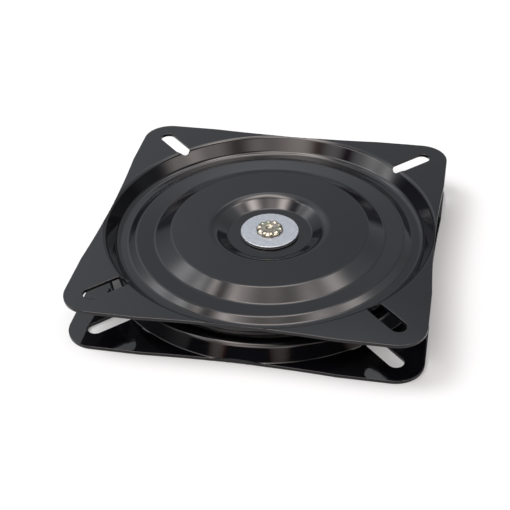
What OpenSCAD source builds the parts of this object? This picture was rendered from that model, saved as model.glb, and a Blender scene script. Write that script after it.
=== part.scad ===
// Seat swivel plate: two like pressed steel plates set back to back, a caged ball race
// between them and a staked rivet through the middle. The upper plate turns on the balls.
// The origin is at the middle of the lower plate's mounting face, with +Z up.

/* [Plates] */
// Length of each side
plate_side = 178; // [160:1:210]
// Radius of the corners
corner_r = 15; // [6:1:22]
// How far the press has drawn in the middle of each side
side_pull = 1.7; // [0.5:0.1:3]
// Length of the stretch of each side that is drawn in
side_pull_length = 96; // [50:1:120]
// Thickness of the sheet
sheet_t = 1.8; // [1.2:0.1:2.6]

/* [Bolt slots] */
// Width of the slots, which take M8 bolts
slot_w = 8.3; // [5:0.1:10]
// Distance from the sides of the plate to a bolt at the outer end of its slot
bolt_edge = 14; // [12:0.5:18]
// How far the inner end of each slot reaches inside the shoulder
slot_inset = 1.35; // [-2:0.05:2]

/* [Pressed rings] */
// Distance from the sides of the plate to the shoulder, where the sheet turns down
shoulder_edge = 2; // [1:0.5:7]
// Slope of the wall under the shoulder, in degrees
wall_angle = 56; // [45:1:68]
// Depth of the outer valley below the lands
valley_depth = 8.5; // [7.5:0.1:9.5]
// Width of the outer valley's floor
valley_w = 5.6; // [4:0.1:7]
// Slope of the outer faces of the bead and of the dome, in degrees
flank_angle = 25; // [20:1:32]
// Height of the bead above the outer valley
bead_h = 2; // [1.5:0.1:3]
// Width of the bead's inner slope
bead_w = 9.9; // [8:0.1:12]
// Fall of the bead's inner slope
bead_fall = 1; // [0.6:0.1:1.6]
// Depth of the flat of the dome below the lands
dome_depth = 3.3; // [2:0.1:5]
// Diameter of the centre recess at its rim
recess_d = 60; // [56:1:80]
// Diameter of the floor of the centre recess
recess_floor_d = 45; // [42:1:50]
// Depth of the floor of the centre recess below the lands
recess_depth = 8; // [6.5:0.1:9]
// Inside radius of the tight bends, at the shoulder, the bead and the dome's rim
tight_bend_r = 1; // [0.6:0.1:1.5]
// Inside radius of the soft bend at the foot of the wall
foot_bend_r = 4; // [1:0.1:4.5]
// Inside radius of the bends on both sides of the bead, in the valleys
valley_bend_r = 3; // [1:0.1:3.5]
// Inside radius of the soft bend at the rim of the recess
recess_rim_bend_r = 8; // [1.5:0.1:9]
// Inside radius of the bend at the floor of the recess
recess_bend_r = 2; // [1:0.1:4]

/* [Ball race] */
// Diameter of a ball, 9/32 inch
ball_d = 7.14; // [6.35:0.01:8.8]
// Number of balls
ball_count = 24; // [12:1:30]
// Gap between a ball and each face of its groove
ball_play = 0.05; // [0.02:0.01:0.1]
// Width of the cage
cage_w = 10.5; // [9.8:0.1:11]
// Gap between the cage and the outer valley of each plate
cage_clear = 0.65; // [0.4:0.05:0.8]
// Gap between a ball and the side of its pocket
pocket_play = 0.15; // [0.1:0.05:0.3]

/* [Centre stack] */
// Diameter of the rivet's shank
rivet_d = 10; // [8:0.5:12]
// Gap between the rivet's shank and the bore of each plate
bore_clear = 0.08; // [0.03:0.01:0.1]
// Gap between the rivet's shank and the holes of the washers and the bush
washer_clear = 0.15; // [0.05:0.05:0.4]
// Gap between the upper plate and the bush below it or the friction washer above it
run_clear = 0.05; // [0.02:0.01:0.1]
// Outer diameter of the bush between the plates
bush_d = 24; // [18:1:34]
// Outer diameter of the friction washer
friction_washer_d = 31.6; // [26:0.2:38]
// Thickness of the friction washer
friction_washer_t = 0.6; // [0.4:0.1:1.2]
// Outer diameter of the steel washers
washer_d = 31; // [22:0.5:38]
// Thickness of the steel washers
washer_t = 1.2; // [0.8:0.1:2]
// Width of the broken edge of the steel washers
washer_edge = 0.2; // [0.1:0.05:0.35]
// Diameter of the rivet's staked upper head
stake_d = 14.4; // [13:0.2:17]
// Height of the flange under the stake marks
stake_flange_h = 1; // [0.6:0.1:1.4]
// Height of the staked head
stake_h = 2.3; // [1.8:0.1:3]
// Number of lobes that the staking tool leaves
stake_count = 10; // [8:1:12]
// Radius of each lobe
stake_lobe_r = 1.7; // [1.2:0.1:2]
// Diameter of the dimple in the staked head
dimple_d = 5; // [3:0.5:6]
// Depth of the dimple in the staked head
dimple_depth = 1.5; // [0.5:0.1:2]
// Diameter of the rivet's lower head
rivet_head_d = 16; // [14:0.5:19]
// Height of the rivet's lower head
rivet_head_h = 2.4; // [1.6:0.1:3]
// Width of the bevel on the rim of the lower head
rivet_head_bevel = 1; // [0.4:0.1:1.4]

/* [Hidden] */
$fn = 96;
// Largest turn of one facet of a bend, in degrees
bend_step = 6;
// Facets of the large circles that bow the sides, when drawn as a mesh
bow_facets = 720;
// How far a cut runs past the face that it opens
past = 1;
// Slope of the dimple's side: its radius at the bottom as a part of that at the top
dimple_taper = 0.5;

// The shoulder circle, and the bolt circles at the two ends of the slots. As drawn, the
// bolts fit spacings of 127 to 150 mm, along X and along Y.
shoulder_r = plate_side / 2 - shoulder_edge;
inner_bolt_r = shoulder_r - slot_inset + slot_w / 2;
outer_bolt_r = (plate_side / 2 - bolt_edge) * sqrt(2);

foot_r = shoulder_r - valley_depth / tan(wall_angle);
valley_r = foot_r - valley_w;
crest_r = valley_r - bead_h / tan(flank_angle);
inner_valley_r = crest_r - bead_w;
inner_valley_depth = valley_depth - bead_h + bead_fall;
dome_r = inner_valley_r - (inner_valley_depth - dome_depth) / tan(flank_angle);
bead_slope = atan(bead_fall / bead_w);
rivet_r = rivet_d / 2;
bore_r = rivet_r + bore_clear;
washer_bore_r = rivet_r + washer_clear;

// The balls lie under the bead, each one seat_gap from the steep and the gentle face of
// the groove there. Both places follow from that: the radius of the race, and the height
// from the middle of the balls to the face of the lands.
seat_gap = ball_d / 2 + ball_play;
seat_lift = (seat_gap + sheet_t) * (1 / cos(bead_slope) - 1 / cos(flank_angle));
race_r = (seat_lift + inner_valley_depth - valley_depth
    + valley_r * tan(flank_angle) + inner_valley_r * tan(bead_slope))
    / (tan(flank_angle) + tan(bead_slope));
half_h = inner_valley_depth - (race_r - inner_valley_r) * tan(bead_slope)
    + (seat_gap + sheet_t) / cos(bead_slope);
stack_h = 2 * half_h;

cage_t = 2 * (half_h - valley_depth - sheet_t - cage_clear);

// Heights of the centre stack, from the lower head of the rivet to the upper one
lower_floor_z = recess_depth;
upper_floor_z = stack_h - recess_depth;
bush_z = lower_floor_z + sheet_t;
bush_h = upper_floor_z - sheet_t - run_clear - bush_z;
friction_washer_z = upper_floor_z + run_clear;
top_washer_z = friction_washer_z + friction_washer_t;
stake_z = top_washer_z + washer_t;
bottom_washer_z = lower_floor_z - washer_t;
rivet_head_z = bottom_washer_z - rivet_head_h;

// The sheet's face from the corners in to the bore, as radius and height, with sharp bends
land_end_r = plate_side;
face_line = [
    [land_end_r, 0],
    [shoulder_r, 0],
    [foot_r, -valley_depth],
    [valley_r, -valley_depth],
    [crest_r, bead_h - valley_depth],
    [inner_valley_r, -inner_valley_depth],
    [dome_r, -dome_depth],
    [recess_d / 2, -dome_depth],
    [recess_floor_d / 2, -recess_depth],
    [bore_r, -recess_depth]
];
// The inside radius of each of its bends, with none at its two ends
bend_radii = [
    0,
    tight_bend_r,
    foot_bend_r,
    valley_bend_r,
    tight_bend_r,
    valley_bend_r,
    tight_bend_r,
    recess_rim_bend_r,
    recess_bend_r,
    0
];

BALLS = [for (i = [1:ball_count]) str("ball_", i)];

function unit(v) = v / norm(v);
function left_of(v) = [-v[1], v[0]];
function turned(v, a) = [v[0] * cos(a) - v[1] * sin(a), v[0] * sin(a) + v[1] * cos(a)];
function turn_between(u, v) = atan2(u[0] * v[1] - u[1] * v[0], u * v);
function backwards(list) = [for (i = [len(list) - 1:-1:0]) list[i]];

// Points round one bend on the surface that lies depth inside the sheet. Both surfaces
// share the centre of the bend, so the sheet keeps its thickness all the way round.
function bend_points(a, b, c, inside_r, depth) =
    let (
        n = left_of(unit(b - a)),
        m = left_of(unit(c - b)),
        turn = turn_between(n, m),
        to_centre = turn > 0 ? inside_r + sheet_t : -inside_r,
        centre = b + to_centre * (n + m) / (1 + n * m),
        steps = ceil(abs(turn) / bend_step)
    )
    [for (i = [0:steps]) centre - (to_centre - depth) * turned(n, turn * i / steps)];

function sheet_surface(depth) = let (last = len(face_line) - 1) concat(
    [face_line[0] - [0, depth]],
    [for (i = [1:last - 1], p = bend_points(face_line[i - 1], face_line[i],
        face_line[i + 1], bend_radii[i], depth)) p],
    [face_line[last] - [0, depth]]
);

module sheet_section() {
    polygon(concat(sheet_surface(0), backwards(sheet_surface(sheet_t))));
}

// The blank: a square with round corners, less the shallow bow drawn into each side
module plate_outline() {
    straight = plate_side - 2 * corner_r;
    half_bow = side_pull_length / 2;
    bow_r = (half_bow * half_bow + side_pull * side_pull) / (2 * side_pull);
    difference() {
        union() {
            square([plate_side, straight], center = true);
            square([straight, plate_side], center = true);
            for (x = [-1, 1], y = [-1, 1])
                translate([x, y] * straight / 2)
                    circle(r = corner_r);
        }
        for (a = [0:90:270])
            rotate(a)
                translate([plate_side / 2 - side_pull + bow_r, 0])
                    circle(r = bow_r, $fn = bow_facets);
    }
}

// A slot runs out along each diagonal, so the bolts fit any spacing between its two ends
module bolt_slots() {
    for (a = [45:90:315])
        rotate(a) {
            for (r = [inner_bolt_r, outer_bolt_r])
                translate([r, 0])
                    circle(d = slot_w);
            translate([(inner_bolt_r + outer_bolt_r) / 2, 0])
                square([outer_bolt_r - inner_bolt_r, slot_w], center = true);
        }
}

// One plate, with its mounting face at height 0 and the pressing below it
module pressed_plate() {
    depth = valley_depth + sheet_t + past;
    intersection() {
        rotate_extrude()
            sheet_section();
        translate([0, 0, -depth])
            linear_extrude(depth + past)
                difference() {
                    plate_outline();
                    bolt_slots();
                }
    }
}

module top_plate() {
    color("#2b2c2f")
        translate([0, 0, stack_h])
            pressed_plate();
}

module bottom_plate() {
    color("#232427")
        mirror([0, 0, 1])
            pressed_plate();
}

module ball(i) {
    color("#b9bcc0")
        rotate((i - 1) * 360 / ball_count)
            translate([race_r, 0, half_h])
                sphere(d = ball_d);
}

module ball_cage() {
    color("#d8d6cc")
        difference() {
            translate([0, 0, half_h - cage_t / 2])
                difference() {
                    cylinder(r = race_r + cage_w / 2, h = cage_t);
                    translate([0, 0, -past])
                        cylinder(r = race_r - cage_w / 2, h = cage_t + 2 * past);
                }
            for (i = [1:ball_count])
                rotate((i - 1) * 360 / ball_count)
                    translate([race_r, 0, half_h - cage_t / 2 - past])
                        cylinder(r = ball_d / 2 + pocket_play, h = cage_t + 2 * past);
        }
}

module plain_ring(d, z, h) {
    translate([0, 0, z])
        difference() {
            cylinder(d = d, h = h);
            translate([0, 0, -past])
                cylinder(r = washer_bore_r, h = h + 2 * past);
        }
}

// A steel washer with both edges of its rim broken
module steel_washer(z) {
    r = washer_d / 2;
    e = washer_edge;
    color("#b8c0cc")
        translate([0, 0, z])
            rotate_extrude()
                polygon([
                    [washer_bore_r, 0],
                    [r - e, 0],
                    [r, e],
                    [r, washer_t - e],
                    [r - e, washer_t],
                    [washer_bore_r, washer_t]
                ]);
}

module top_washer() {
    steel_washer(top_washer_z);
}

module bottom_washer() {
    steel_washer(bottom_washer_z);
}

module friction_washer() {
    color("#17181a")
        plain_ring(friction_washer_d, friction_washer_z, friction_washer_t);
}

module center_bush() {
    color("#e4e1d6")
        plain_ring(bush_d, bush_z, bush_h);
}

// The shank with its lower head, and the upper end staked over into a ring of lobes
module center_rivet() {
    lobe_ring_r = stake_d / 2 - stake_lobe_r;
    color("#b9ad86")
        difference() {
            union() {
                rotate_extrude()
                    polygon([
                        [0, rivet_head_z],
                        [rivet_head_d / 2 - rivet_head_bevel, rivet_head_z],
                        [rivet_head_d / 2, rivet_head_z + rivet_head_bevel],
                        [rivet_head_d / 2, bottom_washer_z],
                        [rivet_r, bottom_washer_z],
                        [rivet_r, stake_z],
                        [stake_d / 2, stake_z],
                        [stake_d / 2, stake_z + stake_flange_h / 2],
                        [stake_d / 2 - stake_flange_h / 2, stake_z + stake_flange_h],
                        [lobe_ring_r, stake_z + stake_h - stake_flange_h / 2],
                        [0, stake_z + stake_h - stake_flange_h / 2]
                    ]);
                intersection() {
                    translate([0, 0, stake_z])
                        cylinder(d = stake_d + past, h = stake_h + past);
                    for (i = [1:stake_count])
                        rotate(i * 360 / stake_count)
                            translate([lobe_ring_r, 0, stake_z + stake_h - stake_lobe_r])
                                sphere(r = stake_lobe_r);
                }
            }
            translate([0, 0, stake_z + stake_h - dimple_depth])
                cylinder(r1 = dimple_taper * dimple_d / 2, r2 = dimple_d / 2, h = dimple_depth);
        }
}

top_plate();
bottom_plate();
ball_cage();
center_rivet();
top_washer();
friction_washer();
center_bush();
bottom_washer();
for (i = [1:ball_count])
    ball(i);
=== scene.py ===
import math

import bmesh
import bpy
from mathutils import Matrix, Vector


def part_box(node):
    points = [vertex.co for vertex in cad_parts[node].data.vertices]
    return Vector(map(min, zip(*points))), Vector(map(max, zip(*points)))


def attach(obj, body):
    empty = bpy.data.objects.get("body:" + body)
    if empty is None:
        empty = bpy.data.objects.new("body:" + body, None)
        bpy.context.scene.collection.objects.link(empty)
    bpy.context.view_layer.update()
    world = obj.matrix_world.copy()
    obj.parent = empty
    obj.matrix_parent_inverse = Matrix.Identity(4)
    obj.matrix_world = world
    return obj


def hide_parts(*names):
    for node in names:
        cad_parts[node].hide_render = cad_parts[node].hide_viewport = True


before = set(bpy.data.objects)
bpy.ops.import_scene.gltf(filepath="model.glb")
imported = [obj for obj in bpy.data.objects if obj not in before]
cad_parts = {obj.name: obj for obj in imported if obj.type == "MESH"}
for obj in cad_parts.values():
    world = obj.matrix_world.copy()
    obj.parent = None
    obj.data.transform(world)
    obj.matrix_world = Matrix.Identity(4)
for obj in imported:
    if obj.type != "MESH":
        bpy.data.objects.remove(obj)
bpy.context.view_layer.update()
mm = 0.001
tiny = 1e-7     # points closer than this are one point
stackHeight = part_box("top_plate")[1].z
print("frame loaded, stack height %.2f mm" % (stackHeight / mm))


# camera, from the photo's own perspective
view = {
    "azimuth": 12.07,
    "elevation": 36.749,
    "roll": -1.674,
    "distance": 595 * mm,
    "aimHeight": 24.148 * mm,
    "aimSide": 7.7 * mm,     # the plate's centre lies this far right of the picture's middle
    "aimUp": 18.39 * mm,
    "lens": 79.11,
    "clip": (0.02, 20),
}


def makeCamera(s):
    a = math.radians(s["azimuth"])
    e = math.radians(s["elevation"])
    back = Vector((math.sin(a) * math.cos(e), -math.cos(a) * math.cos(e), math.sin(e)))
    right = Vector((math.cos(a), math.sin(a), 0))
    turn = Matrix.Rotation(math.radians(s["roll"]), 3, back)
    right = turn @ right
    up = back.cross(right)
    data = bpy.data.cameras.new("camera")
    data.lens = s["lens"]
    data.clip_start, data.clip_end = s["clip"]
    cam = bpy.data.objects.new("camera", data)
    bpy.context.scene.collection.objects.link(cam)
    place = back * s["distance"] - right * s["aimSide"] - up * s["aimUp"]
    place.z += s["aimHeight"]
    cam.matrix_world = Matrix.Translation(place) @ Matrix((right, up, back)).transposed().to_4x4()
    bpy.context.scene.camera = cam


makeCamera(view)
bpy.context.scene.view_settings.view_transform = "Standard"


# node helpers
def newMaterial(name):
    mat = bpy.data.materials.new(name)
    mat.use_nodes = True
    return mat, mat.node_tree, mat.node_tree.nodes["Principled BSDF"]


def addNode(tree, kind, **values):
    node = tree.nodes.new(kind)
    for key, value in values.items():
        setattr(node, key, value)
    return node


# a link where the value is a socket, or else the plain value
def feed(tree, value, socket):
    if isinstance(value, bpy.types.NodeSocket):
        tree.links.new(value, socket)
    else:
        socket.default_value = value


def addMath(tree, operation, a, b=None):
    node = addNode(tree, "ShaderNodeMath", operation=operation)
    feed(tree, a, node.inputs[0])
    if b is not None:
        feed(tree, b, node.inputs[1])
    return node.outputs[0]


def addVector(tree, operation, a, b):
    node = addNode(tree, "ShaderNodeVectorMath", operation=operation)
    feed(tree, a, node.inputs[0])
    feed(tree, b, node.inputs["Scale" if operation == "SCALE" else 1])
    return node.outputs["Vector"]


def objectCoords(tree):
    return addNode(tree, "ShaderNodeTexCoord").outputs["Object"]


# studio: the light comes from the world, as soft round lamps over a dim room
warm = (1.0, 0.91, 0.87)
even = (1.0, 0.97, 0.975)
cool = (0.93, 0.96, 1.0)
studio = {
    "room": (0.1, 0.105, 0.115),
    "darkest": (0.03, 0.03, 0.035),
    "horizon": (13, 19),       # the lamps fade out between these elevations, as behind a table's edge
    "fillShare": 0.26,         # how much of it falls on the floor and on plain colours
    # one more lamp that only they see, on the left, for the shadow on the right
    "key": (-85, 56, 15, 10.2),
    # azimuth (0 behind, 90 on the right), elevation, half angle, strength, colour
    "lamps": [
        # broad fill, behind and on both sides
        (-42, 44, 20, 1.5, cool),
        (54, 53, 21, 1.2, cool),
        (16, 8, 44, 0.65, cool),
        (-88, 34, 16, 2.5, cool),
        (-6, 49, 6, 2.6, cool),
        # the strip overhead that draws the bright lines on the bends
        (1, 72, 11, 10.5, warm),
        (20, 88, 5, 1.4, warm),
        (-53, 76, 7, 9.5, warm),
        # over the left side
        (-66, 48, 7, 3.5, even),
        (-77, 57, 4, 4.5, even),
        (-77, 64, 2.5, 6, warm),
        (-92, 73, 3, 6, warm),
        # over the right side
        (84, 71, 6, 12, warm),
        (55, 61, 6, 6, warm),
        (112, 71, 7, 10, warm),
        # over the camera
        (-118, 73, 6.5, 13, warm),
        (178, 72, 9.5, 12, warm),
        (-148, 62, 8, 11.5, warm),
        (-169, 37, 16, 6.5, warm),
        (159, 35, 8.5, 3, warm),
        # low on both sides of the camera
        (-127, 41, 13, 5, even),
        (-108, 30, 7.5, 6, even),
        (-99, 17, 5.5, 5, even),
        (112, 30, 7.5, 5, warm),
        (130, 35, 11, 4, warm),
        (98, 26, 8, 3.5, warm),
        (95, 15, 6, 1.5, cool),
    ],
    # azimuth, elevation, half angle, light taken away
    "flags": [
        (-174, 22, 10.5, 10),
        (-146, 16, 5.5, 5),
        (141, 17, 13.5, 5.5),
        (-153, 35, 5.5, 2.5),
        (-130, 31, 5, 2.5),
        (5, 81, 3.5, 3),
    ],
}


def lampGroup():
    group = bpy.data.node_groups.new("softLamp", "ShaderNodeTree")
    face = group.interface
    face.new_socket("Direction", in_out="INPUT", socket_type="NodeSocketVector")
    face.new_socket("Centre", in_out="INPUT", socket_type="NodeSocketVector")
    face.new_socket("Width", in_out="INPUT", socket_type="NodeSocketFloat")
    face.new_socket("Mask", in_out="OUTPUT", socket_type="NodeSocketFloat")
    given = group.nodes.new("NodeGroupInput").outputs
    dot = addNode(group, "ShaderNodeVectorMath", operation="DOT_PRODUCT")
    group.links.new(given["Direction"], dot.inputs[0])
    group.links.new(given["Centre"], dot.inputs[1])
    angle = addMath(group, "ARCCOSINE", addMath(group, "MINIMUM", dot.outputs["Value"], 1.0))
    away = addMath(group, "POWER", addMath(group, "DIVIDE", angle, given["Width"]), 2.0)
    mask = addMath(group, "EXPONENT", addMath(group, "MULTIPLY", away, -1.0))
    out = group.nodes.new("NodeGroupOutput")
    group.links.new(mask, out.inputs["Mask"])
    return group


def direction(azimuth, elevation):
    a = math.radians(azimuth)
    e = math.radians(elevation)
    return Vector((math.sin(a) * math.cos(e), math.cos(a) * math.cos(e), math.sin(e)))


def addLamp(tree, group, towards, azimuth, elevation, width):
    node = addNode(tree, "ShaderNodeGroup", node_tree=group)
    tree.links.new(towards, node.inputs["Direction"])
    node.inputs["Centre"].default_value = direction(azimuth, elevation)
    node.inputs["Width"].default_value = math.radians(width)
    return node.outputs["Mask"]


def addBackground(tree, colour, strength):
    node = addNode(tree, "ShaderNodeBackground")
    feed(tree, colour, node.inputs["Color"])
    feed(tree, strength, node.inputs["Strength"])
    return node.outputs["Background"]


def joinShaders(tree, kind, first, second, share=None):
    node = addNode(tree, kind)
    if share:
        tree.links.new(share, node.inputs["Fac"])
    tree.links.new(first, node.inputs[-2])
    tree.links.new(second, node.inputs[-1])
    return node.outputs["Shader"]


def makeWorld(s):
    world = bpy.data.worlds.new("studio")
    bpy.context.scene.world = world
    world.use_nodes = True
    tree = world.node_tree
    tree.nodes.remove(tree.nodes["Background"])
    group = lampGroup()
    towards = addNode(tree, "ShaderNodeTexCoord").outputs["Generated"]
    light = (0, 0, 0)
    lamps = s["lamps"] + [(*flag[:3], -flag[3], (1, 1, 1)) for flag in s["flags"]]
    for azimuth, elevation, width, strength, colour in lamps:
        mask = addLamp(tree, group, towards, azimuth, elevation, width)
        beam = addVector(tree, "SCALE", [c * strength for c in colour], mask)
        light = addVector(tree, "ADD", light, beam)
    height = addNode(tree, "ShaderNodeSeparateXYZ")
    tree.links.new(towards, height.inputs["Vector"])
    above = addNode(tree, "ShaderNodeMapRange", interpolation_type="SMOOTHSTEP")
    tree.links.new(height.outputs["Z"], above.inputs["Value"])
    above.inputs["From Min"].default_value = math.sin(math.radians(s["horizon"][0]))
    above.inputs["From Max"].default_value = math.sin(math.radians(s["horizon"][1]))
    light = addVector(tree, "SCALE", light, above.outputs["Result"])
    light = addVector(tree, "ADD", light, s["room"])
    light = addVector(tree, "MAXIMUM", light, s["darkest"])
    azimuth, elevation, width, strength = s["key"]
    key = addMath(tree, "MULTIPLY", addLamp(tree, group, towards, azimuth, elevation, width), strength)
    white = (1, 1, 1, 1)
    rays = addNode(tree, "ShaderNodeLightPath").outputs
    sharp = addMath(tree, "MAXIMUM", rays["Is Glossy Ray"], rays["Is Transmission Ray"])
    plain = joinShaders(tree, "ShaderNodeAddShader", addBackground(tree, white, key),
                        addBackground(tree, light, s["fillShare"]))
    lit = joinShaders(tree, "ShaderNodeMixShader", plain, addBackground(tree, light, 1), sharp)
    seen = joinShaders(tree, "ShaderNodeMixShader", lit, addBackground(tree, white, 1),
                       rays["Is Camera Ray"])
    tree.links.new(seen, tree.nodes["World Output"].inputs["Surface"])


makeWorld(studio)

floorSet = {"size": 6.0, "albedo": (0.885, 0.9, 0.91), "shown": 0.2}


def makeFloor(s):
    bm = bmesh.new()
    bmesh.ops.create_grid(bm, x_segments=1, y_segments=1, size=s["size"] / 2)
    mesh = bpy.data.meshes.new("floor")
    bm.to_mesh(mesh)
    bm.free()
    floor = bpy.data.objects.new("floor", mesh)
    bpy.context.scene.collection.objects.link(floor)
    mat, tree, shader = newMaterial("paleFloor")
    shader.inputs["Base Color"].default_value = (*s["albedo"], 1)
    shader.inputs["Roughness"].default_value = 1
    shader.inputs["Specular IOR Level"].default_value = 0
    rays = addNode(tree, "ShaderNodeLightPath").outputs
    seen = addMath(tree, "MAXIMUM", rays["Is Camera Ray"], rays["Is Glossy Ray"])
    seen = addMath(tree, "MAXIMUM", seen, rays["Is Transmission Ray"])
    glow = addNode(tree, "ShaderNodeEmission")
    mix = joinShaders(tree, "ShaderNodeMixShader", shader.outputs["BSDF"], glow.outputs["Emission"],
                      addMath(tree, "MULTIPLY", seen, s["shown"]))
    tree.links.new(mix, tree.nodes["Material Output"].inputs["Surface"])
    floor.data.materials.append(mat)


makeFloor(floorSet)
print("camera, studio and floor made")


# effects that several materials share
noiseSet = {
    "mottleDetail": 5,
    "mottleRough": 0.6,
    "mottleRange": (0.3, 0.7),     # the noise between these is spread over the whole range
    "grainDetail": 2,
    "lineDetail": 3,
}


def newGroup(name, inputs, output):
    group = bpy.data.node_groups.new(name, "ShaderNodeTree")
    for label, kind in inputs:
        group.interface.new_socket(label, in_out="INPUT", socket_type=kind)
    group.interface.new_socket(output[0], in_out="OUTPUT", socket_type=output[1])
    return group, group.nodes.new("NodeGroupInput").outputs, group.nodes.new("NodeGroupOutput").inputs


# noise between two values
def mottleGroup(s):
    group, given, out = newGroup("mottle", [
        ("Vector", "NodeSocketVector"), ("Scale", "NodeSocketFloat"),
        ("Low", "NodeSocketFloat"), ("High", "NodeSocketFloat")], ("Value", "NodeSocketFloat"))
    noise = addNode(group, "ShaderNodeTexNoise")
    noise.inputs["Detail"].default_value = s["mottleDetail"]
    noise.inputs["Roughness"].default_value = s["mottleRough"]
    spread = addNode(group, "ShaderNodeMapRange", interpolation_type="SMOOTHSTEP")
    spread.inputs["From Min"].default_value = s["mottleRange"][0]
    spread.inputs["From Max"].default_value = s["mottleRange"][1]
    group.links.new(given["Vector"], noise.inputs["Vector"])
    group.links.new(given["Scale"], noise.inputs["Scale"])
    group.links.new(noise.outputs["Fac"], spread.inputs["Value"])
    group.links.new(given["Low"], spread.inputs["To Min"])
    group.links.new(given["High"], spread.inputs["To Max"])
    group.links.new(spread.outputs["Result"], out["Value"])
    return group


# a surface normal that follows fine noise of a given depth in metres
def grainGroup(s):
    group, given, out = newGroup("grain", [
        ("Vector", "NodeSocketVector"), ("Scale", "NodeSocketFloat"),
        ("Depth", "NodeSocketFloat")], ("Normal", "NodeSocketVector"))
    noise = addNode(group, "ShaderNodeTexNoise")
    noise.inputs["Detail"].default_value = s["grainDetail"]
    bump = addNode(group, "ShaderNodeBump")
    group.links.new(given["Vector"], noise.inputs["Vector"])
    group.links.new(given["Scale"], noise.inputs["Scale"])
    group.links.new(noise.outputs["Fac"], bump.inputs["Height"])
    group.links.new(given["Depth"], bump.inputs["Distance"])
    group.links.new(bump.outputs["Normal"], out["Normal"])
    return group


# lines round the swivel's axis, as a tool or a die leaves them, between 0 and 1
def ringLinesGroup(s):
    group, given, out = newGroup("ringLines", [
        ("Vector", "NodeSocketVector"), ("Scale", "NodeSocketFloat")], ("Value", "NodeSocketFloat"))
    flat = addNode(group, "ShaderNodeVectorMath", operation="MULTIPLY")
    flat.inputs[1].default_value = (1, 1, 0)
    radius = addNode(group, "ShaderNodeVectorMath", operation="LENGTH")
    noise = addNode(group, "ShaderNodeTexNoise", noise_dimensions="1D")
    noise.inputs["Detail"].default_value = s["lineDetail"]
    group.links.new(given["Vector"], flat.inputs[0])
    group.links.new(flat.outputs["Vector"], radius.inputs[0])
    group.links.new(radius.outputs["Value"], noise.inputs["W"])
    group.links.new(given["Scale"], noise.inputs["Scale"])
    group.links.new(noise.outputs["Fac"], out["Value"])
    return group


effects = {
    "mottle": mottleGroup(noiseSet),
    "grain": grainGroup(noiseSet),
    "ringLines": ringLinesGroup(noiseSet),
}


def addEffect(tree, name, **values):
    node = addNode(tree, "ShaderNodeGroup", node_tree=effects[name])
    for key, value in values.items():
        feed(tree, value, node.inputs[key.capitalize()])
    return node.outputs[0]


# a colour that runs through several tints as a value goes from 0 to 1
def addTints(tree, value, tints):
    ramp = addNode(tree, "ShaderNodeValToRGB")
    marks = ramp.color_ramp.elements
    while len(marks) < len(tints):
        marks.new(0.5)
    for i, tint in enumerate(tints):
        marks[i].position = i / (len(tints) - 1)
        marks[i].color = (*tint, 1)
    tree.links.new(value, ramp.inputs["Fac"])
    return ramp.outputs["Color"]


# materials
def blackPaint(s):
    mat, tree, shader = newMaterial("blackPaint")
    coords = objectCoords(tree)
    shader.inputs["IOR"].default_value = s["ior"]
    shade = addEffect(tree, "mottle", vector=coords, scale=s["shadeScale"], low=0.0, high=1.0)
    tree.links.new(addTints(tree, shade, s["tints"]), shader.inputs["Base Color"])
    low, high = s["rough"]
    rough = addEffect(tree, "mottle", vector=coords, scale=s["roughScale"], low=low, high=high)
    tree.links.new(rough, shader.inputs["Roughness"])
    peel = addEffect(tree, "grain", vector=coords, scale=s["peelScale"], depth=s["peelDepth"])
    tree.links.new(peel, shader.inputs["Normal"])
    return mat


# plated steel: tinted metal with turned lines and a fine grain
def platedSteel(name, s):
    mat, tree, shader = newMaterial(name)
    coords = objectCoords(tree)
    shader.inputs["Metallic"].default_value = 1
    tint = addEffect(tree, "mottle", vector=coords, scale=s["tintScale"], low=0.0, high=1.0)
    tree.links.new(addTints(tree, tint, s["tints"]), shader.inputs["Base Color"])
    low, high = s["rough"]
    rough = addEffect(tree, "mottle", vector=coords, scale=s["roughScale"], low=low, high=high)
    tree.links.new(rough, shader.inputs["Roughness"])
    lines = addEffect(tree, "ringLines", vector=coords, scale=s["lineScale"])
    bump = addNode(tree, "ShaderNodeBump")
    bump.inputs["Distance"].default_value = s["lineDepth"]
    tree.links.new(lines, bump.inputs["Height"])
    grain = addEffect(tree, "grain", vector=coords, scale=s["grainScale"], depth=s["grainDepth"])
    tree.links.new(grain, bump.inputs["Normal"])
    tree.links.new(bump.outputs["Normal"], shader.inputs["Normal"])
    return mat


# polished balls under a thin smear of grease
def bearingSteel(s):
    mat, tree, shader = newMaterial("bearingSteel")
    coords = objectCoords(tree)
    shader.inputs["Metallic"].default_value = 1
    smear = addEffect(tree, "mottle", vector=coords, scale=s["smearScale"], low=0.0, high=1.0)
    tree.links.new(addTints(tree, smear, s["tints"]), shader.inputs["Base Color"])
    rough = addNode(tree, "ShaderNodeMapRange")
    tree.links.new(smear, rough.inputs["Value"])
    rough.inputs["To Min"].default_value, rough.inputs["To Max"].default_value = s["rough"]
    tree.links.new(rough.outputs["Result"], shader.inputs["Roughness"])
    shader.inputs["Coat Weight"].default_value = s["grease"]
    shader.inputs["Coat IOR"].default_value = s["greaseIor"]
    scuffs = addEffect(tree, "grain", vector=coords, scale=s["scuffScale"], depth=s["scuffDepth"])
    tree.links.new(scuffs, shader.inputs["Normal"])
    return mat


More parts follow.
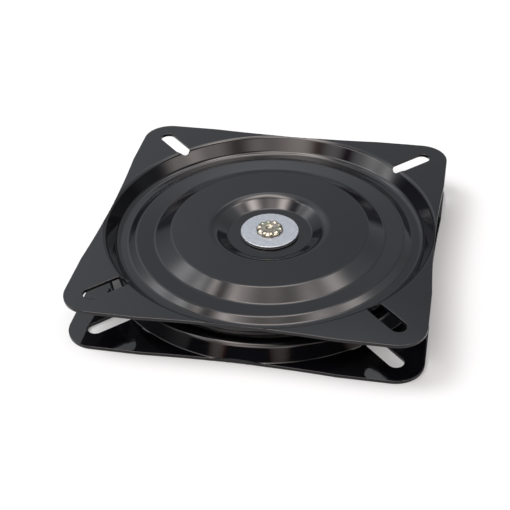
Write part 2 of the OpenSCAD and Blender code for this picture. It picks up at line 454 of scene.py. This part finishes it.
# moulded nylon, a little translucent where it is pale
def mouldedNylon(name, s):
    mat, tree, shader = newMaterial(name)
    coords = objectCoords(tree)
    tint = addEffect(tree, "mottle", vector=coords, scale=s["tintScale"], low=0.0, high=1.0)
    tree.links.new(addTints(tree, tint, s["tints"]), shader.inputs["Base Color"])
    low, high = s["rough"]
    rough = addEffect(tree, "mottle", vector=coords, scale=s["roughScale"], low=low, high=high)
    tree.links.new(rough, shader.inputs["Roughness"])
    shader.inputs["Subsurface Weight"].default_value = s["glow"]
    shader.inputs["Subsurface Scale"].default_value = s["glowDepth"]
    flow = addEffect(tree, "ringLines", vector=coords, scale=s["flowScale"])
    bump = addNode(tree, "ShaderNodeBump")
    bump.inputs["Distance"].default_value = s["flowDepth"]
    tree.links.new(flow, bump.inputs["Height"])
    grain = addEffect(tree, "grain", vector=coords, scale=s["grainScale"], depth=s["grainDepth"])
    tree.links.new(grain, bump.inputs["Normal"])
    tree.links.new(bump.outputs["Normal"], shader.inputs["Normal"])
    return mat


paint = blackPaint({
    "ior": 1.42,
    "tints": [(0.0035, 0.0035, 0.005), (0.005, 0.005, 0.007)], "shadeScale": 25,
    "rough": (0.035, 0.075), "roughScale": 60,
    "peelScale": 350, "peelDepth": 0.0075 * mm,
})
brightZinc = platedSteel("brightZinc", {
    "tints": [(0.31, 0.335, 0.37), (0.38, 0.4, 0.43)], "tintScale": 700,
    "rough": (0.42, 0.56), "roughScale": 900,
    "lineScale": 9000, "lineDepth": 0.004 * mm, "grainScale": 2500, "grainDepth": 0.006 * mm,
})
yellowZinc = platedSteel("yellowZinc", {
    "tints": [(0.19, 0.22, 0.18), (0.28, 0.27, 0.21), (0.26, 0.22, 0.19), (0.38, 0.375, 0.32)],
    "tintScale": 380, "rough": (0.18, 0.4), "roughScale": 700,
    "lineScale": 5000, "lineDepth": 0.008 * mm, "grainScale": 1500, "grainDepth": 0.05 * mm,
})
ballSteel = bearingSteel({
    "tints": [(0.6, 0.61, 0.63), (0.5, 0.48, 0.42)], "smearScale": 260,
    "rough": (0.05, 0.2), "grease": 0.4, "greaseIor": 1.47,
    "scuffScale": 4000, "scuffDepth": 0.0015 * mm,
})
paleNylon = mouldedNylon("nylon", {
    "tints": [(0.74, 0.72, 0.64), (0.82, 0.8, 0.74)], "tintScale": 90,
    "rough": (0.38, 0.55), "roughScale": 500, "glow": 0.25, "glowDepth": 1.5 * mm,
    "flowScale": 1200, "flowDepth": 0.01 * mm, "grainScale": 1800, "grainDepth": 0.01 * mm,
})
blackNylon = mouldedNylon("blackNylon", {
    "tints": [(0.01, 0.01, 0.011), (0.018, 0.018, 0.019)], "tintScale": 200,
    "rough": (0.35, 0.5), "roughScale": 600, "glow": 0.0, "glowDepth": 0.5 * mm,
    "flowScale": 2500, "flowDepth": 0.006 * mm, "grainScale": 1800, "grainDepth": 0.008 * mm,
})
print("materials made")


# pressed plates
plateSet = {
    "side": 178 * mm,
    "corner": 15 * mm,
    "sidePull": 1.7 * mm,
    "pullLength": 96 * mm,
    "sheet": 1.8 * mm,
    "slotWidth": 8.3 * mm,
    "boltEdge": 14 * mm,
    "slotInset": 1.35 * mm,
    "shoulderEdge": 2 * mm,
    "wallAngle": 56,
    "valleyDepth": 8.5 * mm,
    "valleyWidth": 5.6 * mm,
    "flankAngle": 25,
    "beadHeight": 2 * mm,
    "beadWidth": 9.9 * mm,
    "beadFall": 1 * mm,
    "domeDepth": 3.3 * mm,
    "recess": 60 * mm,
    "recessFloor": 45 * mm,
    "recessDepth": 8 * mm,
    "bore": 10.16 * mm,
    "tightBend": 1 * mm,
    "footBend": 4 * mm,
    "valleyBend": 3 * mm,
    "recessRimBend": 8 * mm,
    "recessBend": 2 * mm,
    "bendStep": 4.0,
    "turns": 360,
    "blank": 0.72,             # radius of the round blank, as a share of the side
    "trimFrom": 0.47,          # faces farther out than this share of the side are trimmed
    "slotSteps": 16,
    "slotNear": (1.3, 1.5),    # vertices and faces this near a slot are cut, in half lengths of it
    "flatNormal": 0.999999,    # a land's faces point this straight up or down
    "flatAngle": 0.02,         # degrees between faces that are dissolved into one
    "rimNormal": 0.5,
    "weld": 0.1 * mm,
    "edgeRound": 0.3 * mm,
    "edgeSegments": 3,
}


# radius, height and inside bend radius of each corner, from the rim to the bore
def faceLine(s):
    steep = math.tan(math.radians(s["wallAngle"]))
    flank = math.tan(math.radians(s["flankAngle"]))
    shoulder = s["side"] / 2 - s["shoulderEdge"]
    foot = shoulder - s["valleyDepth"] / steep
    valley = foot - s["valleyWidth"]
    crest = valley - s["beadHeight"] / flank
    inner = crest - s["beadWidth"]
    innerDepth = s["valleyDepth"] - s["beadHeight"] + s["beadFall"]
    dome = inner - (innerDepth - s["domeDepth"]) / flank
    return [
        (s["side"] * s["blank"], 0, 0),
        (shoulder, 0, s["tightBend"]),
        (foot, -s["valleyDepth"], s["footBend"]),
        (valley, -s["valleyDepth"], s["valleyBend"]),
        (crest, s["beadHeight"] - s["valleyDepth"], s["tightBend"]),
        (inner, -innerDepth, s["valleyBend"]),
        (dome, -s["domeDepth"], s["tightBend"]),
        (s["recess"] / 2, -s["domeDepth"], s["recessRimBend"]),
        (s["recessFloor"] / 2, -s["recessDepth"], s["recessBend"]),
        (s["bore"] / 2, -s["recessDepth"], 0),
    ]


# a line with its corners bent round, the radius always on the inner side of the sheet
def bendLine(corners, sheet, step):
    line = [Vector(corners[0][:2])]
    for before, here, after in zip(corners, corners[1:], corners[2:]):
        a, b, c = (Vector(p[:2]) for p in (before, here, after))
        n = (b - a).normalized().orthogonal()
        m = (c - b).normalized().orthogonal()
        turn = math.atan2(n.x * m.y - n.y * m.x, n.dot(m))
        toCentre = here[2] + sheet if turn > 0 else -here[2]
        centre = b + (n + m) * toCentre / (1 + n.dot(m))
        steps = max(2, math.ceil(abs(math.degrees(turn)) / step))
        for i in range(steps + 1):
            arm = Matrix.Rotation(turn * i / steps, 2) @ n
            line.append(centre - arm * toCentre)
    line.append(Vector(corners[-1][:2]))
    return line


# the line turned once round the swivel's axis
def spinLine(line, turns):
    bm = bmesh.new()
    verts = [bm.verts.new((p.x, 0, p.y)) for p in line]
    edges = [bm.edges.new(pair) for pair in zip(verts, verts[1:])]
    bmesh.ops.spin(bm, geom=verts + edges, cent=(0, 0, 0), axis=(0, 0, 1), angle=2 * math.pi,
                   steps=turns, use_merge=True)
    bmesh.ops.remove_doubles(bm, verts=bm.verts, dist=tiny)
    bmesh.ops.recalc_face_normals(bm, faces=bm.faces)
    return bm


# distance from the axis to the blank's edge at that angle
def outlineRadius(s, angle):
    quarter = math.radians(90)
    a = abs((angle + quarter / 2) % quarter - quarter / 2)
    half = s["side"] / 2
    core = half - s["corner"]
    halfPull = s["pullLength"] / 2
    bow = (halfPull ** 2 + s["sidePull"] ** 2) / (2 * s["sidePull"])
    if math.tan(a) * half < halfPull:
        far = half - s["sidePull"] + bow
        return far * math.cos(a) - math.sqrt(bow ** 2 - (far * math.sin(a)) ** 2)
    if math.tan(a) * half < core:
        return half / math.cos(a)
    lean = a - quarter / 2
    reach = core * math.sqrt(2)
    return reach * math.cos(lean) + math.sqrt(s["corner"] ** 2 - (reach * math.sin(lean)) ** 2)


# faces with their edges and vertices, always in the same order, so that each run cuts alike
def withEdges(faces):
    edges = (e for f in faces for e in f.edges)
    verts = (v for f in faces for v in f.verts)
    return list(dict.fromkeys([*faces, *edges, *verts]))


def vertsOf(edges):
    return list(dict.fromkeys(v for e in edges for v in e.verts))


# the faces near the blank's edge, sorted into the wedges between the spin's steps
def outerFaces(bm, s):
    count = s["turns"]
    wedges = [[] for _ in range(count)]
    for f in bm.faces:
        c = f.calc_center_median()
        if math.hypot(c.x, c.y) > s["side"] * s["trimFrom"]:
            wedges[math.floor(math.atan2(c.y, c.x) / (2 * math.pi) * count) % count].append(f)
    return wedges


# for each wedge, a point on the blank's edge and the direction out of it
def edgePlanes(s):
    count = s["turns"]
    points = []
    for i in range(count + 1):
        a = 2 * math.pi * i / count
        r = outlineRadius(s, a)
        points.append(Vector((r * math.cos(a), r * math.sin(a), 0)))
    return [(a, Vector((b.y - a.y, a.x - b.x, 0)).normalized()) for a, b in zip(points, points[1:])]


def trimToOutline(bm, s):
    planes = edgePlanes(s)
    for faces, (place, outwards) in zip(outerFaces(bm, s), planes):
        bmesh.ops.bisect_plane(bm, geom=withEdges(faces), dist=tiny, plane_co=place, plane_no=outwards)
    waste = [f for faces, (place, outwards) in zip(outerFaces(bm, s), planes) for f in faces
             if (f.calc_center_median() - place).dot(outwards) > 0]
    bmesh.ops.delete(bm, geom=waste, context="FACES")


def slotOutline(s, turn):
    shoulder = s["side"] / 2 - s["shoulderEdge"]
    half = s["slotWidth"] / 2
    inner = shoulder - s["slotInset"] + half
    outer = (s["side"] / 2 - s["boltEdge"]) * math.sqrt(2)
    points = []
    for centre, start in ((outer, -90), (inner, 90)):
        for i in range(s["slotSteps"] + 1):
            a = math.radians(start + 180 * i / s["slotSteps"])
            points.append(Vector((centre + half * math.cos(a), half * math.sin(a), 0)))
    return [Matrix.Rotation(turn, 3, "Z") @ p for p in points]


# a convex hole: the faces inside every side of the outline come out
def cutSlot(bm, points, s):
    middle = (sum(points, Vector()) / len(points)).xy
    nearVerts, nearFaces = (max((p.xy - middle).length for p in points) * share for share in s["slotNear"])
    inside = [f for f in bm.faces if any((v.co.xy - middle).length < nearVerts for v in f.verts)
              or (f.calc_center_median().xy - middle).length < nearFaces]
    for a, b in zip(points, points[1:] + points[:1]):
        along = b - a
        outwards = Vector((along.y, -along.x, 0)).normalized()
        made = bmesh.ops.bisect_plane(bm, geom=withEdges(inside), dist=tiny, plane_co=a,
                                      plane_no=outwards)
        inside = [f for f in made["geom"] if isinstance(f, bmesh.types.BMFace)
                  and (f.calc_center_median() - a).dot(outwards) < 0]
    bmesh.ops.delete(bm, geom=inside, context="FACES")


def openEdges(bm):
    return [e for e in bm.edges if e.is_boundary]


# the open edges of the blank's edge, and of each slot
def pairedLoops(bm, s):
    groups = {}
    for e in openEdges(bm):
        x, y, _ = (e.verts[0].co + e.verts[1].co) / 2
        r = math.hypot(x, y)
        a = math.degrees(math.atan2(y, x)) % 360
        spread = r * abs(math.sin(math.radians(a % 90 - 45)))
        outer = (s["side"] / 2 - s["boltEdge"]) * math.sqrt(2) + s["slotWidth"]
        slot = int(a // 90) if spread < s["slotWidth"] and r < outer else -1
        groups.setdefault(slot, []).append(e)
    return groups.values()


# a spoke along x, y or a diagonal
def onSeam(e, near):
    points = [(v.co.x, v.co.y, abs(v.co.x) - abs(v.co.y)) for v in e.verts]
    return any(abs(a) < near and abs(b) < near for a, b in zip(*points))


# the lands are flat, so the spin's spokes on them are dissolved, except for eight seams: a face
# that runs round a slot or round the whole plate isn't always filled rightly
def flattenLands(bm, s):
    low = -s["sheet"] - s["weld"]
    flat = {f for f in bm.faces if abs(f.normal.z) > s["flatNormal"] and f.calc_center_median().z > low}
    edges = [e for e in bm.edges if len(e.link_faces) == 2 and flat.issuperset(e.link_faces)
             and not onSeam(e, s["weld"])]
    bmesh.ops.dissolve_limit(bm, angle_limit=math.radians(s["flatAngle"]), edges=edges,
                             verts=vertsOf(edges))


# one plate's sheet, with its mounting face up at height 0
def pressSheet(s):
    bm = spinLine(bendLine(faceLine(s), s["sheet"], s["bendStep"]), s["turns"])
    if sum(f.normal.z for f in bm.faces) < 0:
        bmesh.ops.reverse_faces(bm, faces=bm.faces)
    bmesh.ops.solidify(bm, geom=bm.faces[:], thickness=s["sheet"])
    far = s["side"] * s["blank"] - s["weld"]
    rim = [f for f in bm.faces if all(math.hypot(v.co.x, v.co.y) > far for v in f.verts)
           and abs(f.normal.z) < s["rimNormal"]]
    bmesh.ops.delete(bm, geom=rim, context="FACES")
    trimToOutline(bm, s)
    for corner in range(4):
        before = set(openEdges(bm))
        cutSlot(bm, slotOutline(s, math.radians(45 + 90 * corner)), s)
        cut = [e for e in openEdges(bm) if e not in before]
        bmesh.ops.remove_doubles(bm, verts=vertsOf(cut), dist=s["weld"])
    flattenLands(bm, s)
    sharp = openEdges(bm)
    for loop in pairedLoops(bm, s):
        bmesh.ops.bridge_loops(bm, edges=loop)
    bmesh.ops.bevel(bm, geom=sharp, offset=s["edgeRound"], offset_type="OFFSET", affect="EDGES",
                    segments=s["edgeSegments"], profile=0.5, clamp_overlap=False, material=-1)
    for v in bm.verts:
        v.co.z = min(v.co.z, 0)     # the bevel lifts a few corners at the slots
    return bm


def finishPiece(bm, name, body, nodes, material):
    for f in bm.faces:
        f.smooth = True
    mesh = bpy.data.meshes.new(name)
    bm.to_mesh(mesh)
    bm.free()
    mesh.materials.append(material)
    piece = bpy.data.objects.new(name, mesh)
    bpy.context.scene.collection.objects.link(piece)
    weighted = piece.modifiers.new("weightedNormals", "WEIGHTED_NORMAL")
    weighted.mode = "FACE_AREA_WITH_ANGLE"
    weighted.weight = 100
    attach(piece, body)
    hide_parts(*nodes)
    return piece


def makePlates(s, material):
    bm = pressSheet(s)
    lower = bm.copy()
    bmesh.ops.translate(bm, verts=bm.verts, vec=(0, 0, stackHeight))
    bmesh.ops.scale(lower, verts=lower.verts, vec=(1, 1, -1))
    bmesh.ops.reverse_faces(lower, faces=lower.faces)
    finishPiece(bm, "upperPlate", "turntable", ["top_plate"], material)
    finishPiece(lower, "lowerPlate", "base", ["bottom_plate"], material)


makePlates(plateSet, paint)
print("plates pressed")


# washers and bush: rings whose places and sizes come from their CAD nodes
ringSet = {
    "bore": 5.15 * mm,
    "turns": 192,
    "step": 15,
    # piece, node, round of the outer upper edge and of the other edges, material, slot
    "rings": [
        ("zincWasher", "top_washer", 0.38 * mm, 0.12 * mm, brightZinc, "bright_zinc"),
        ("backWasher", "bottom_washer", 0.12 * mm, 0.38 * mm, brightZinc, "bright_zinc"),
        ("slipWasher", "friction_washer", 0.22 * mm, 0.12 * mm, blackNylon, "black_nylon"),
        ("bush", "center_bush", 0.5 * mm, 0.5 * mm, paleNylon, "nylon"),
    ],
}


def makeRings(s):
    for name, node, upper, lower, material, slot in s["rings"]:
        low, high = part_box(node)
        middle = (low.z + high.z) / 2
        section = [
            (s["bore"], middle, 0),
            (s["bore"], high.z, lower),
            (high.x, high.z, upper),
            (high.x, low.z, lower),
            (s["bore"], low.z, lower),
            (s["bore"], middle, 0),
        ]
        bm = spinLine(bendLine(section, 0, s["step"]), s["turns"])
        finishPiece(bm, name, "base", [node], material)


makeRings(ringSet)


# rivet: a shank with a pressed lower head, the upper end staked over into a ring of lobes
rivetSet = {
    "shank": 5 * mm,
    "head": 8 * mm,
    "headEdge": 0.9 * mm,
    "smallEdge": 0.12 * mm,
    "stake": 7.2 * mm,
    "stakeHeight": 2.3 * mm,
    "flange": 1 * mm,
    "plateau": 1.8 * mm,
    "lobes": 10,
    "lobeRadius": 1.7 * mm,
    "lobeRing": 5.5 * mm,
    "lobeDrop": 0.35 * mm,     # the lobes are uneven, the lowest ones by this much
    "lobeWave": 2.3,           # turn from lobe to lobe of the wave that sets each one's drop
    "dimple": 1.25 * mm,
    "dimpleSlope": 1.2,
    "dimpleFloor": 0.8 * mm,
    "soft": 0.16 * mm,
    "scallop": 0.04,
    "scallopFrom": 0.7,        # share of the stake's radius
    "turns": 240,
    "rings": 36,
    "step": 10,
}


def softMax(a, b, soft):
    return (a + b + math.sqrt((a - b) ** 2 + soft ** 2)) / 2


# height of the staked head over the washer
def stakedHeight(s, r, angle):
    rim = max(0, r - s["stake"] + s["flange"] / 2)
    flange = s["flange"] / 2 + math.sqrt(max(0, (s["flange"] / 2) ** 2 - rim ** 2))
    fall = (s["plateau"] - s["flange"]) / (s["stake"] - s["flange"] / 2 - s["lobeRing"])
    base = s["plateau"] - max(0, r - s["lobeRing"]) * fall
    pitch = 2 * math.pi / s["lobes"]
    turn = (angle + pitch / 2) % pitch - pitch / 2
    away = Vector((r * math.cos(turn) - s["lobeRing"], r * math.sin(turn))).length
    drop = s["lobeDrop"] * (1 + math.sin(s["lobeWave"] * (round(angle / pitch) % s["lobes"]))) / 2
    centre = s["stakeHeight"] - s["lobeRadius"] - drop
    lobe = centre + math.sqrt(max(0, s["lobeRadius"] ** 2 - away ** 2))
    height = softMax(softMax(base, flange, s["soft"]), lobe, s["soft"])
    dimple = s["dimpleFloor"] + softMax(0, r - s["dimple"], s["soft"]) * s["dimpleSlope"]
    return min(-softMax(-height, -dimple, s["soft"]), s["stakeHeight"])


def makeRivet(s):
    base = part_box("top_washer")[1].z
    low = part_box("center_rivet")[0].z
    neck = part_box("bottom_washer")[0].z
    edge = base + s["flange"] / 2
    top = [Vector((s["stake"] * i / s["rings"], edge)) for i in range(s["rings"])]
    rest = bendLine([
        (s["stake"], edge, 0),
        (s["stake"], base, s["smallEdge"]),
        (s["shank"], base, s["smallEdge"]),
        (s["shank"], neck, s["smallEdge"]),
        (s["head"], neck, s["smallEdge"]),
        (s["head"], low, s["headEdge"]),
        (0, low, 0),
    ], 0, s["step"])
    bm = spinLine(top + rest, s["turns"])
    for v in bm.verts:
        if v.co.z < base - s["smallEdge"]:
            continue
        r = v.co.xy.length
        angle = math.atan2(v.co.y, v.co.x)
        if v.co.z > edge - s["smallEdge"]:
            v.co.z = base + stakedHeight(s, r, angle)
        outer = max(0, r / s["stake"] - s["scallopFrom"]) / (1 - s["scallopFrom"])
        pinch = 1 - s["scallop"] * outer * (1 - math.cos(s["lobes"] * angle)) / 2
        v.co.x *= pinch
        v.co.y *= pinch
    finishPiece(bm, "rivet", "base", ["center_rivet"], yellowZinc)


makeRivet(rivetSet)


# the cage and the balls keep their CAD shapes
def dressNode(node, material):
    for place in bpy.data.objects[node].material_slots:
        place.material = material


ballCount = 24
dressNode("ball_cage", paleNylon)
for number in range(1, ballCount + 1):
    dressNode("ball_%d" % number, ballSteel)
print("washers, bush, rivet and race made")
